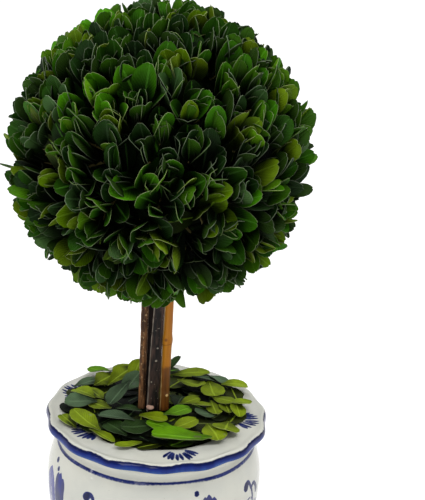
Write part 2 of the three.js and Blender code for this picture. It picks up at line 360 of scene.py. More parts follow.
foot = corners_cut(np.array([[FOOT_RADIUS - 3.5, 0], [FOOT_RADIUS - 1.5, 0],
                             [FOOT_RADIUS - 0.5, 1], [FOOT_RADIUS - 0.5, FOOT_Z - 0.8],
                             [body_radius(FOOT_Z + 1), FOOT_Z + 0.6]]), 2)
body_z = np.linspace(FOOT_Z + 1.2, NECK_Z - 0.6, 62)
lip = corners_cut(np.array([
    [NECK_RADIUS, NECK_Z + 0.2], [NECK_RADIUS - 0.1, NECK_Z + 1.2],
    [NECK_RADIUS + 0.35, NECK_Z + 2.2], [NECK_RADIUS, NECK_Z + 3.2],
    [NECK_RADIUS + 0.7, LIP_Z - 1.2], [RIM_RADIUS - 1.8, LIP_Z - 0.3],
    [RIM_RADIUS - 0.3, LIP_Z + 0.3], [RIM_RADIUS + 0.1, LIP_Z + 1.6],
    [RIM_RADIUS, POT_HEIGHT - 2.2], [RIM_RADIUS - 0.5, POT_HEIGHT - 0.6],
    [RIM_RADIUS - 1.6, POT_HEIGHT + 0.1], [RIM_RADIUS - 3.2, POT_HEIGHT - 0.3]]), 2)
flange = np.linspace([RIM_RADIUS - 4.2, POT_HEIGHT - 0.55],
                     [FLANGE_INNER + 2.2, POT_HEIGHT - FLANGE_DROP + 0.15], 13)
mouth = corners_cut(np.array([[FLANGE_INNER + 1.4, POT_HEIGHT - FLANGE_DROP],
                              [FLANGE_INNER, POT_HEIGHT - FLANGE_DROP - 0.3],
                              [FLANGE_INNER, LIP_Z], [body_radius(FILLING_TOP) - POT_WALL,
                                                      FILLING_TOP]]), 2)
inner_z = np.linspace(FILLING_TOP - 2, POT_FLOOR + 3, 9)
inside = np.vstack([np.stack([body_radius(inner_z) - POT_WALL, inner_z], 1),
                    [[body_radius(POT_FLOOR) - POT_WALL - 2.5, POT_FLOOR]]])
profile = np.vstack([foot, np.stack([body_radius(body_z), body_z], 1), lip, flange, mouth,
                     inside])

AROUND = 576
turn = round_turn(AROUND) + FRONT
radius = np.repeat(profile[:, 0], AROUND)
height = np.repeat(profile[:, 1], AROUND)
bearing = np.tile(turn, len(profile))
is_outside = np.repeat(np.arange(len(profile)) < len(foot) + len(body_z) + len(lip)
                       + len(flange), AROUND)

# The lip's scallops are a cosine round the rim, softer than in the solid, and the thrown wall
# is never quite round.
LOBE_SHARE, WOBBLE, SWELL = 0.8, 0.18, 0.22
lobe = LOBE_SHARE * np.cos(RIM_LOBES * (bearing - FRONT - np.radians(LOBE_TURN)))
share = smooth_step(radius, NECK_RADIUS + 0.5, RIM_RADIUS - 1)
share = share * smooth_step(height, NECK_Z, LIP_Z)
flat = round_axis(radius, bearing, height)
wobble = WOBBLE * lattice_noise(flat, 14.0, 3) * smooth_step(height, 6, 14)
pushed = radius + LOBE_DEPTH * share * lobe + wobble
swell = SWELL * share * lattice_noise(flat + 40, 9.0, 4)
pot_points = round_axis(pushed, bearing, height + swell)
pot_points = np.vstack([pot_points, [[0, 0, 0], [0, 0, POT_FLOOR]]])

# Brushwork is kept on the wall as a depth in millimetres into the painted shape, so that the
# glaze can draw its edge finer than the mesh. Arc is measured from the front, to the right.
# Where no paint can come, the depth is NOTHING and the arc AWAY.
NOTHING, AWAY = -9.0, 99.0
arc_angle = wrapped(bearing - FRONT)


def smooth_path(nodes, count):
    """Points along a curve that runs through the nodes (Catmull-Rom)."""
    nodes = np.array(nodes, float)
    ends = np.vstack([2 * nodes[0] - nodes[1], nodes, 2 * nodes[-1] - nodes[-2]])
    t = np.linspace(0, len(nodes) - 1, count)
    k = np.minimum(t.astype(int), len(nodes) - 2)
    t = (t - k)[:, None]
    a, b, c, d = ends[k], ends[k + 1], ends[k + 2], ends[k + 3]
    return 0.5 * (2 * b + (c - a) * t + (2 * a - 5 * b + 4 * c - d) * t ** 2
                  + (3 * b - a - 3 * c + d) * t ** 3)


def stroke(field, arc, up, nodes, thick, count=18):
    """Adds a brush stroke to a field of depths: the half thickness, which runs through the
    values of thick along the stroke, less the distance to its smooth path. arc and up give
    the place of each point of the wall."""
    path = smooth_path(nodes, count)
    half = np.interp(np.linspace(0, 1, count), np.linspace(0, 1, len(thick)), thick)
    reach = max(thick) + 1.5
    near = np.flatnonzero((arc > path[:, 0].min() - reach) & (arc < path[:, 0].max() + reach)
                          & (up > path[:, 1].min() - reach) & (up < path[:, 1].max() + reach))
    p = np.stack([arc[near], up[near]], 1)[:, None, :]
    a, leg = path[None, :-1], (path[1:] - path[:-1])[None]
    along = np.clip(((p - a) * leg).sum(-1) / np.maximum((leg ** 2).sum(-1), 1e-9), 0, 1)
    gap = np.linalg.norm(p - a - along[..., None] * leg, axis=-1)
    depth = (half[:-1] + (half[1:] - half[:-1]) * along - gap).max(1)
    field[near] = np.maximum(field[near], depth)


def petal(field, arc, up, middle, length, width, tilt, blunt=3):
    """Adds a petal to a field: an oval whose half width is half the width times 1 - |y|^blunt,
    with y running from -1 to 1 along it. Returns the depths of this petal alone."""
    x, y = arc - middle[0], up - middle[1]
    along = (x * np.sin(tilt) + y * np.cos(tilt)) / (length / 2)
    across = x * np.cos(tilt) - y * np.sin(tilt)
    depth = width / 2 * (1 - np.abs(along) ** blunt) - np.abs(across)
    depth = np.where(np.abs(along) < 1.4, depth, NOTHING)
    np.maximum(field, depth, out=field)
    return depth


ink = np.full(len(flat), NOTHING)
wash, dusk = ink.copy(), ink.copy()
wall = is_outside & (height > FOOT_Z) & (height < NECK_Z + 0.5)
on_flange = is_outside & (height > POT_HEIGHT - 3) & (radius < RIM_RADIUS - 1.5)
on_lip = is_outside & (radius > RIM_RADIUS - 2.4) & (height > LIP_Z - 1.5)

# A line round the neck, and a pair of lines over the foot: height and half width. A cap on
# their depth keeps their colour thin.
LINES, THIN_PAINT = ((80.7, 0.85), (11.5, 0.8), (8.2, 0.4)), 0.42
sway = 0.22 * np.sin(3 * arc_angle + 1) + 0.15 * np.sin(7 * arc_angle)
for line_z, half in LINES:
    line = np.minimum(half - np.abs(height - line_z - sway), THIN_PAINT)
    np.maximum(ink, np.where(is_outside & (height < NECK_Z + 1), line, NOTHING), out=ink)

# The lip's band, as a depth into it, and how far each point stands above its lower edge,
# where the brush ran thin and the blue is paler, partly as a painted reflection of the floor.
brush = lattice_noise(np.stack([arc_angle * 7, height / 4, 0 * height], 1), 1.0, 7)
fine_brush = lattice_noise(np.stack([arc_angle * 40, height / 3, 0 * height], 1), 1.0, 8)
band_top = RIM_RADIUS - 1.0 - 0.3 * brush - 0.1 * fine_brush
band = np.where(height > POT_HEIGHT - 1.4, radius - band_top, height - LIP_Z + 0.1 * brush)
band = np.where(on_lip, band, NOTHING)
rise = height - LIP_Z - 0.5 * brush - 0.25 * fine_brush

# Small fans of nine strokes on the rim, which open outwards: bearing from the front in degrees
# and the distance of the fan's root from the axis.
FAN_AT = ((16, 33), (84, 34.5), (141, 34), (-164, 34), (-114, 35), (-56, 31.5))
FAN_SIDE, FAN_STEP = 4, 0.185
for number, (angle, inner) in enumerate(FAN_AT):
    dice = np.random.default_rng(50 + number)
    off = wrapped(arc_angle - np.radians(angle))
    arc = np.where(on_flange, off * radius, AWAY)
    for k in range(-FAN_SIDE, FAN_SIDE + 1):
        way = FAN_STEP * k + dice.uniform(-0.03, 0.03)
        way = np.array([np.sin(way), np.cos(way)])
        root, tip = (way * (length + dice.uniform(-0.5, 0.5)) + [0, inner]
                     for length in (6.8 - 0.1 * k * k, 12.9 - 0.06 * k * k))
        bow = np.add(root, tip) / 2 + [0.12 * k, 0.1]
        stroke(ink, arc, radius, [root, bow, tip], [0.5, 0.76 + 0.02 * k, 0.92, 0.5], 8)

# Round the belly run four groups: a full blossom with dots over it, then a stem that forks
# into two drooping curls, joined by a vine. Places are in millimetres: along the wall from the
# blossom's middle, and up. Petals are place, length, width and tilt.
BELLY_ARC = 48.5
TWO_DOTS = ((0.4, 75.6, 1.4), (3.4, 72.6, 1.2))
ONE_DOT = ((-1.8, 75.4, 1.35),)
# Each group: bearing from the front, the stem's arc from the blossom, how far the whole group
# is shifted, its dots, and how far the petals are shifted and raised.
GROUPS = ((-67, 30.0, 0.5, TWO_DOTS, 0, 0), (26, 32.2, 0, ONE_DOT, -2.4, 1.8),
          (118, 30.0, 0, TWO_DOTS, 0, 0), (-157, 28.0, 0, ONE_DOT, 0, 0))
WASH_PETALS = ((-3.2, 59.6, 22, 11.4, -0.08), (0.6, 50.0, 12, 7.0, 0.0),
               (10.6, 51.5, 12, 5.4, 1.0))
DUSK_PETALS = ((4.8, 61.6, 20.2, 4.2, -0.03), (6.6, 62.0, 20.8, 4.4, 0.0),
               (8.8, 60.8, 19.8, 4.6, 0.05), (-9.4, 50.5, 12, 5.4, -1.0))
CURLS = (([(2.0, 50), (2.7, 56), (2.3, 61), (1.2, 65), (0, 68)], [0.6, 0.8, 0.9]),
         ([(0, 67.0), (-0.7, 69.3), (-2.1, 70.5), (-3.7, 70.1), (-4.3, 68.9)],
          [0.8, 1.0, 1.3, 2.1]),
         ([(0.6, 65.6), (2.0, 67.5), (4.0, 67.6), (6.0, 65.4), (7.0, 62.8)],
          [0.6, 0.9, 1.1, 1.7]),
         ([(2.2, 60), (-0.6, 62), (-3.2, 61.4), (-4.4, 59.2)], [0.4, 0.6, 1.2]),
         ([(2.2, 56), (4.6, 58), (7.2, 57.2), (8.4, 54.6)], [0.4, 0.6, 1.2]))
VINE = [(-8, 50), (0, 46.5), (8, 44), (16, 46.5), (24, 49.5), (30, 49), (38, 45), (47, 43),
        (57, 45), (66, 49)]
VINE_LEAVES = ((6, 41.4, 2.3), (12, 49.3, 0.7), (20, 44.0, 2.2), (34, 51.6, 0.6),
               (40, 41.0, 2.5), (47, 47.2, 0.5), (55, 40.6, 2.4), (61, 51, 0.4))
VINE_DOTS = ((2, 38.5), (27, 43.0), (44, 37.5), (66, 43.5))


def dot(arc, x, z, size, tall=0.7, ends=0.5, count=5):
    """A dot is a stroke hardly longer than it is wide."""
    stroke(ink, arc, height, [(x - 0.3, z - tall), (x + 0.3, z + tall)],
           [ends * size, size, ends * size], count)


def outlined(depth, half, inset):
    """Draws a line along the edge of a painted shape, a little inside it."""
    np.maximum(ink, half - np.abs(depth - inset), out=ink)


def veins_left_bare(arc, x, z, length, tilt):
    """Two fine veins in a broad petal where the glaze stays white."""
    for lean in (-0.14, 0.12):
        low = np.array([x, z]) - 0.36 * length * np.array([np.sin(tilt), np.cos(tilt)])
        high = low + 0.66 * length * np.array([np.sin(tilt + lean), np.cos(tilt + lean)])
        vein = np.full(len(flat), NOTHING)
        stroke(vein, arc, height, [low, high], [0.3, 0.22, 0.12], 5)
        for field in (wash, dusk, ink):
            field[:] = np.where(vein > -0.15, np.minimum(field, -vein), field)


for angle, stem_at, group_shift, dots, shift, raised in GROUPS:
    off = wrapped(arc_angle - np.radians(angle))
    arc = np.where(wall, off * BELLY_ARC + group_shift, AWAY)
    for x, z, size in dots:
        dot(arc, x, z, size)
    for field, blunt, petals in ((wash, 3, WASH_PETALS), (dusk, 6, DUSK_PETALS)):
        for x, z, length, width, tilt in petals:
            x, z = x + shift, z + raised
            depth = petal(field, arc, height, (x, z), length, width, tilt, blunt)
            if field is wash:
                outlined(depth, 0.24, 0.1)
            if width > 7:
                veins_left_bare(arc, x, z, length, tilt)
    for nodes, thick in CURLS:
        stroke(ink, arc - stem_at, height, nodes, thick)
    stroke(ink, arc, height, VINE, [0.35, 0.45, 0.4, 0.45, 0.35], 60)
    for x, z, tilt in VINE_LEAVES:
        outlined(petal(wash, arc, height, (x, z), 6.8, 3.1, tilt), 0.34, 0.15)
    for x, z in VINE_DOTS:
        dot(arc, x, z, 0.8, 0.6, 0.375, 4)

# A row of upright petals over the foot's lines, each with a white middle.
FOOT_ARC, PETALS, PETAL_Z, WHITE_MIDDLE = 41, 22, 19.5, 1.4
petal_step = 2 * np.pi / PETALS
off = (arc_angle / petal_step + 0.5) % 1 - 0.5
arc = np.where(wall, off * petal_step * FOOT_ARC, AWAY)
depth = petal(wash, arc, height, (0, PETAL_Z), 13, 7.4, 0.0)
outlined(depth, 0.4, 0.2)
wash = np.where(wall & (height < 30) & (depth > WHITE_MIDDLE), -depth, wash)

BAND_BLUE = paint(36, 76, 140)
GLAZE_WHITE, GLAZE_GREY = paint(196, 196, 186), paint(188, 189, 181)
COBALT, DEEP_COBALT = paint(14, 35, 108), paint(9, 17, 62)
PALE_COBALT, VIOLET_WASH, DUSK = paint(60, 62, 138), paint(42, 50, 120), paint(10, 18, 80)

glaze = Finish("cobalt_glaze", roughness=0.1, Specular_IOR_Level=0.15)
pool = glaze.noise(55.0, 3.0)
clay = glaze.mix(pool.step(0.35, 0.7), GLAZE_WHITE, GLAZE_GREY)
speck = glaze.noise(900.0, 1.0).step(0.74, 0.78) * 0.35
clay = glaze.mix(speck, clay, paint(150, 150, 140))
ink_depth, wash_depth = glaze.value_of("ink"), glaze.value_of("wash")
ragged = (glaze.noise(700.0, 2.0) - 0.5) * 0.35
streak = glaze.noise(260.0, 3.0, (1, 1, 0.35))
dusk_share = (glaze.value_of("dusk") + ragged).step(-0.12, 0.3) * (0.8 + 0.3 * streak)
wash_share = (wash_depth + ragged).step(-0.12, 0.3) * (0.7 + 0.5 * streak)
wash_colour = glaze.mix(streak.step(0.35, 0.65), PALE_COBALT, VIOLET_WASH)
ink_share = (ink_depth + ragged).step(-0.16, 0.22) * (0.93 + 0.1 * streak)
ink_colour = glaze.mix((ink_depth + streak).step(0.4, 1.3), COBALT, DEEP_COBALT)
dusk_colour = glaze.mix(streak.step(0.3, 0.7), DUSK, VIOLET_WASH)
band_share = (glaze.value_of("band") + ragged).step(-0.15, 0.25)
rise_level = glaze.value_of("rise")
# The band is paler low down: partly thin paint, partly a painted reflection of the bright floor.
paint_load_and_reflection = (rise_level + (streak - 0.5) * 3.0).step(-0.4, 2.6)
band_colour = glaze.mix(paint_load_and_reflection, BAND_BLUE, COBALT)
band_colour = glaze.mix((rise_level + streak).step(2.6, 4.4), band_colour, DEEP_COBALT)
painted = clay
for share, colour in ((wash_share, wash_colour), (dusk_share, dusk_colour),
                      (ink_share, ink_colour), (band_share, band_colour)):
    painted = glaze.mix(share, painted, colour)

# The foot ring is left bare where the pot stood in the kiln.
BARE_LOW, BARE_HIGH = 0.0009, 0.0014
level = glaze.part(glaze.place(), "Z") + (glaze.noise(300.0) - 0.5) * 0.0008
bare = 1 - level.step(BARE_LOW, BARE_HIGH)
glaze.colour(glaze.mix(bare, painted, paint(196, 184, 164)))
glaze.roughness(0.05 + 0.6 * bare + 0.06 * pool)
glaze.relief(glaze.noise(75.0, 2.0), 0.0004)

walls, fans = turned_faces(len(profile), AROUND)
fields = {"ink": ink, "wash": wash, "dusk": dusk, "band": band, "rise": rise}
pot = mesh_piece("painted_pot", pot_points, [walls, fans], [glaze],
                 values={key: np.append(field, [NOTHING] * 2) for key, field in fields.items()})
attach(pot, "root")
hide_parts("pot")


# FILLING
# Dark foam, cut to the pot and pushed in. The stems are stuck into it, and the leaf heap
# hides it.
GAP = 0.3


def clouded(name, roughness, noise, steps, dark, light, depth, **shader):
    """A finish of two colours, mixed by cloudy noise between two steps of it. The same noise
    gives the relief."""
    finish = Finish(name, roughness, **shader)
    cloud = finish.noise(*noise)
    finish.colour(finish.mix(cloud.step(*steps) if steps else cloud, dark, light))
    finish.relief(cloud, depth)
    return finish


foam = clouded("dark_foam", 0.95, (900.0, 2.0), (0.35, 0.65), paint(38, 31, 22),
               paint(74, 62, 44), 0.0006)
foam_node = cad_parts["pot_filling"]
foam_node.data.materials.clear()
foam_node.data.materials.append(foam.material)


# STEMS
# Four cut stems stand close together, two with dark bark, one with brown bark full of pores,
# and one peeled to the orange wood. They are pushed into the filling and into the ball.
STEM_LOW_Z, STEM_HIGH_Z, STEM_FOOT_Z, STEM_HEAD_Z = 98.0, 146.0, 46.0, 174.0
STEM_SIDES, STEM_ROWS = 48, 260
# Each stem's middle low down and high up, and its radius at both.
STEMS = {
    "stem_left": ((-7.25, -1), (-7.45, -1), (1.6, 1.75)),
    "stem_middle": ((-2.3, -3), (-1.25, -3), (2.85, 2.45)),
    "stem_back": ((-4.9, 2.6), (-4.6, 2.5), (1.75, 1.6)),
    "stem_right": ((3, -1), (3.25, -1), (2.3, 2.1)),
}


def stem_middle_at(stem, z):
    """A stem's middle at each height: it runs straight from its low to its high middle and
    stands upright below and above."""
    share = np.interp(z, [STEM_LOW_Z, STEM_HIGH_Z], [0, 1])[:, None]
    low, high = np.array(STEMS[stem][:2])
    return low + (high - low) * share


def bark(stem, relief, seed, ridge=None, knots=()):
    """A closed round limb round a stem's middle. Its radius runs from the low to the high value
    by a smooth step, with lattice noise drawn out along the stem, a rounded ridge (bearing,
    height) and bumps (bearing, z, size, height).
    """
    radii = STEMS[stem][2]
    z = np.linspace(STEM_FOOT_Z, STEM_HEAD_Z, STEM_ROWS)
    weights = smooth_step(z, STEM_LOW_Z - 4, STEM_HIGH_Z + 4)
    axis = np.column_stack([stem_middle_at(stem, z), z])
    middle = np.repeat(axis, STEM_SIDES, axis=0)
    angle, level = np.tile(round_turn(STEM_SIDES), STEM_ROWS), np.repeat(z, STEM_SIDES)
    out = round_axis(1, angle, 0 * angle)
    base = np.repeat(radii[0] + (radii[1] - radii[0]) * weights, STEM_SIDES)
    spot = out * base[:, None]
    drawn = np.stack([spot[:, 0], spot[:, 1], level / 5], 1)
    rough = 0.6 * lattice_noise(drawn, 1.1, seed) + 0.4 * lattice_noise(drawn, 0.45, seed + 1)
    across = lattice_noise(np.stack([spot[:, 0] / 3, spot[:, 1] / 3, level], 1), 1.6, seed + 2)
    push = relief * rough + 0.5 * relief * across
    pale = np.zeros(len(out))
    # The ridge is paler as well; on the peeled stem that paleness is a painted highlight.
    if ridge:
        bend = wrapped(angle - ridge[0]) + 0.12 * np.sin(level / 9.0)
        lift = np.exp(-(bend / 0.2) ** 2)
        push = push + ridge[1] * lift
        pale = lift * (0.75 + 0.25 * across)
    for at, at_z, size, lift in knots:
        gap = np.hypot(wrapped(angle - at) * base, level - at_z) / size
        push = push + lift * (np.exp(-gap ** 2) - 0.55 * np.exp(-(gap * 2.6) ** 2))
        pale = np.maximum(pale, np.exp(-(gap * 1.5) ** 4))
    points = middle + out * (base + push)[:, None]
    points = np.vstack([points, axis[:1], axis[-1:]])
    stem_walls, caps = turned_faces(STEM_ROWS, STEM_SIDES)
    return points, [stem_walls, caps], {"pale": np.append(pale, [0, 0]),
                                        "rough": np.append(rough, [0, 0])}


def bark_finish(name, dark, light, scar, pores, gloss):
    """Bark colour from dark in its cracks to light on its crests, pale scars, small pores."""
    finish = Finish(name, roughness=gloss, Specular_IOR_Level=0.2)
    grain = finish.noise(420.0, 4.0, (1, 1, 0.16))
    crest = finish.value_of("rough") * 0.35 + grain
    tone = finish.mix(crest.step(0.3, 0.8), dark, light)
    pore = finish.noise(950.0, 1.0, (1, 1, 0.7)).step(0.70 - pores, 0.76 - pores)
    tone = finish.mix(pore * 0.75, tone, scar)
    tone = finish.mix(finish.value_of("pale").step(0.25, 0.95) * 0.85, tone, scar)
    finish.colour(tone)
    finish.roughness(gloss + 0.25 * grain)
    finish.relief(grain + pore * 0.4, 0.0004)
    return finish


brown_bark = bark_finish("brown_bark", paint(56, 36, 22), paint(142, 98, 60),
                         paint(164, 136, 100), 0.07, 0.55)
dark_bark = bark_finish("dark_bark", paint(10, 6, 6), paint(66, 48, 40),
                        paint(150, 140, 126), 0.0, 0.45)
black_bark = bark_finish("black_bark", paint(12, 8, 8), paint(34, 24, 20),
                         paint(80, 66, 54), 0.0, 0.6)

stem_makings = {
    "stem_left": (brown_bark, "brown_bark", bark(
        "stem_left", 0.12, 11,
        knots=((FRONT + 0.3, 142.5, 0.9, 0.2), (FRONT - 0.4, 118, 0.7, 0.15)))),
    "stem_middle": (dark_bark, "dark_bark", bark(
        "stem_middle", 0.11, 21, ridge=(FRONT - 0.95, 0.28),
        knots=((FRONT + 0.25, 127.6, 0.8, 0.22), (FRONT + 0.12, 121.3, 0.9, 0.24),
               (FRONT - 0.4, 110.5, 0.7, 0.16)))),
    "stem_back": (black_bark, "dark_bark", bark("stem_back", 0.12, 31)),
}
for name, (finish, slot_name, (points, faces, values)) in stem_makings.items():
    piece = mesh_piece("bark_" + name, points, faces, [finish], values=values)
    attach(piece, "root")
    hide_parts(name)

# The peeled stem: honey orange above, red-brown where it was stained lower down, with a node
# half way, a pale scar near its foot and a cream line down its left side on a low ridge,
# which is a painted highlight.
STAIN_TOP, STAIN_FADE = 0.1172, 0.0012
KNOT_Z, KNOT_SWELL, KNOT_LENGTH = 130.0, 0.35, 2.5
EYE_X, EYE_Z, LINE_Z = -0.5, 130.8, 128.3
wood = Finish("orange_wood", roughness=0.42, Specular_IOR_Level=0.25)
grain = wood.noise(380.0, 4.0, (1, 1, 0.07))
honey = wood.mix(grain.step(0.3, 0.75), paint(160, 95, 6), paint(186, 122, 20))
level = wood.part(wood.place(), "Z") + (wood.noise(160.0, 3.0) - 0.5) * 0.008
stain = 1 - level.step(STAIN_TOP - STAIN_FADE, STAIN_TOP + STAIN_FADE)
red = wood.mix(grain.step(0.3, 0.7), paint(58, 30, 12), paint(128, 76, 28))
tone = wood.mix(stain * 0.85, honey, red)
# The pale value gives the scar at the foot and the cream line on the left ridge, a painted
# highlight.
tone = wood.mix(wood.value_of("pale").step(0.25, 0.8) * 0.85, tone, paint(222, 186, 126))
wood.colour(wood.mix(wood.value_of("ring").step(0.2, 0.8) * 0.8, tone, paint(112, 58, 14)))
wood.roughness(0.36 + 0.2 * grain)
wood.relief(grain, 0.0003)

points, faces, values = bark("stem_right", 0.05, 41, ridge=(FRONT - 0.9, 0.14),
                             knots=((FRONT + 0.5, 102.8, 1.1, 0.3),))
out = points[:, :2] - stem_middle_at("stem_right", points[:, 2])
from_middle = np.linalg.norm(out, axis=1, keepdims=True)
swell = KNOT_SWELL * np.exp(-((points[:, 2:] - KNOT_Z) / KNOT_LENGTH) ** 2)
points[:, :2] += out / np.maximum(from_middle, 1e-6) * swell * (from_middle > 0.5)
eye = np.exp(-((out[:, 0] - EYE_X) / 0.75) ** 2 - ((points[:, 2] - EYE_Z) / 0.9) ** 2)
eye = eye * (out[:, 1] < 0)
line = np.exp(-((points[:, 2] - LINE_Z - 0.2 * out[:, 0]) / 0.35) ** 2)
values["ring"] = np.maximum(eye, 0.8 * line)
piece = mesh_piece("peeled_stem_right", points, faces, [wood], values=values)
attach(piece, "root")
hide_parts("stem_right")

# A side shoot of the dark stem was pruned off at its foot: the cut shows pale.
CUT_AT, CUT_AXIS = np.array([-3.2, -5.2, 97.4]), unit(np.array([-0.15, -0.88, 0.45]))
CUT_WIDE, CUT_HIGH, CUT_SIDES = 1.25, 0.8, 24
CUT_ALONG = np.array([-1.2, -0.4, 0.3, 0.7, 0.95, 1.0, 1.02])
CUT_SIZE = np.array([1.5, 1.5, 1.45, 1.42, 1.35, 1.0, 0.45])
cut_wood = clouded("cut_wood", 0.6, (900.0, 3.0), None, paint(150, 104, 84),
                   paint(214, 178, 156), 0.0003)
side = unit(np.cross(CUT_AXIS, [0, 0, 1]))
over = np.cross(side, CUT_AXIS)
turn = round_turn(CUT_SIDES)[:, None]
ring = side * CUT_WIDE * np.cos(turn) + over * CUT_HIGH * np.sin(turn)
points = CUT_AT + CUT_AXIS * CUT_ALONG[:, None, None] + ring * CUT_SIZE[:, None, None]
points = np.vstack([points.reshape(-1, 3), CUT_AT + CUT_AXIS * CUT_ALONG[0],
                    CUT_AT + CUT_AXIS * (CUT_ALONG[-1] + 0.01)])
cut_walls, caps = turned_faces(len(CUT_ALONG), CUT_SIDES)
piece = mesh_piece("pruned_shoot", points, [cut_walls[:, ::-1], caps[:, ::-1]], [cut_wood])
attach(piece, "root")


# LEAF HEAP
# Loose box leaves cover the filling and lie over each other like shingles, some face up and
# some on their faces. They are preserved in glycerine, soft and a little dulled.
COVER_EDGE, COVER_SIDE, COVER_CROWN, COVER_REACH, BED_SINK = 33.5, 0.8, 5.0, 44.0, 3.8
LEAF_ROWS = np.array([0, 0.16, 0.34, 0.52, 0.70, 0.86, 0.96, 1.0])
LEAF_COLUMNS = np.array([-1, -0.55, 0, 0.55, 1])
LEAF_THICKNESS, WIDEST_AT, ROOT_SHARE, TIP_SHARE = 0.22, 0.64, 0.09, 0.22


def leaf_grid_faces():
    """Corners of one leaf: its upper face, its underside and the strip round its margin. A
    leaf has two grids of points, one for each side."""
    rows, columns = len(LEAF_ROWS), len(LEAF_COLUMNS)
    index = np.arange(rows * columns).reshape(rows, columns)
    a, b, c, d = index[:-1, :-1], index[1:, :-1], index[1:, 1:], index[:-1, 1:]
    upper = np.stack([a, b, c, d], -1).reshape(-1, 4)[:, ::-1]
    under = upper[:, ::-1] + rows * columns
    border = np.concatenate([index[0, :-1], index[:-1, -1], index[-1, :0:-1], index[:0:-1, 0]])
    after = np.roll(border, -1)
    margin = np.stack([border, border + rows * columns, after + rows * columns, after], -1)
    return upper, under, margin, border


UPPER, UNDER, MARGIN, BORDER = leaf_grid_faces()


def leaf_points(root, along, face, length, width, fold, curl, cup, wave, twist):
    """Points of many leaves as arrays (leaf, side, row, column). The half width along a leaf
    rises from the root as sin(90 deg u/0.64)^1.2 and closes from there to the tip as a quarter
    of an ellipse. Each row is bent up from the midrib by the fold and the cup, and its edge
    waves. The midrib itself is an arc that turns back by the curl, and the twist turns the
    blade about it.
    """
    x = unit(along)
    y = unit(np.cross(face, x))
    z = np.cross(x, y)
    y, z = turned(y, z, -twist[:, None])
    u, v = LEAF_ROWS[None, :, None], LEAF_COLUMNS[None, None, :]
    rise = np.sin(np.pi / 2 * np.minimum(LEAF_ROWS / WIDEST_AT, 1)) ** 1.2
    past = np.maximum(LEAF_ROWS - WIDEST_AT, 0) / (1.0001 - WIDEST_AT)
    shape = np.where(LEAF_ROWS < WIDEST_AT, rise, np.sqrt(1 - past ** 2))
    shape = np.maximum(shape, np.where(LEAF_ROWS < 0.5, ROOT_SHARE, TIP_SHARE))
    half = width[:, None, None] / 2 * shape[None, :, None]
    bend = np.where(np.abs(curl) < 1e-3, 1e-3, curl)[:, None, None]
    size = length[:, None, None]
    run = size * np.sin(bend * u) / bend
    sink = -size * (1 - np.cos(bend * u)) / bend
    fold = fold[:, None, None]
    lift = np.abs(v) * half * np.sin(fold) + cup[:, None, None] * half * v ** 2
    lift = lift + wave[:, None, None] * half * v ** 2 * np.sin(7 * u + 2.5 * v + 9 * bend)
    spread = v * half * np.cos(fold)
    run = run - 0.02 * size * (u == 1) * (v == 0)
    lean, upright = np.sin(bend * u), np.cos(bend * u)
    points = np.empty((len(root), 2, len(LEAF_ROWS), len(LEAF_COLUMNS), 3))
    for side, offset in ((0, LEAF_THICKNESS / 2), (1, -LEAF_THICKNESS / 2)):
        away = lift + offset
        px, pz = run + away * lean, sink + away * upright
        points[:, side] = (root[:, None, None] + px[..., None] * x[:, None, None]
                           + spread[..., None] * y[:, None, None]
                           + pz[..., None] * z[:, None, None])
    return points


def leaf_piece(name, points, tones, painted_light_values, finishes):
    """Joins leaves into one mesh. Each keeps a tone of its own, its run from root to tip and
    its width as a UV map, and three finishes: upper face, underside and margin. Each point
    keeps its painted light, a painted shade that darkens leaves where they lie deep: towards
    the inside of the plant and under other leaves."""
    count, each = len(points), 2 * len(LEAF_ROWS) * len(LEAF_COLUMNS)
    start = np.arange(count)[:, None, None] * each
    faces = [(part[None] + start).reshape(-1, 4) for part in (UPPER, UNDER, MARGIN)]
    finish_of = np.repeat([0, 1, 2], [len(part) for part in faces])
    grid = np.stack(np.meshgrid(LEAF_ROWS, LEAF_COLUMNS / 2 + 0.5, indexing="ij"), -1)
    blade = np.tile(grid.reshape(-1, 2), (2 * count, 1))
    one = np.zeros(each, int)
    one[BORDER], one[BORDER + each // 2] = 1, 2
    piece = mesh_piece(name, points.reshape(-1, 3), [np.concatenate(faces)], finishes,
                       finish_of=finish_of, blade=blade, sharp=np.tile(one, count),
                       values={"tone": np.repeat(tones, each), "painted_light": painted_light_values.ravel()})
    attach(piece, "root")
    return piece


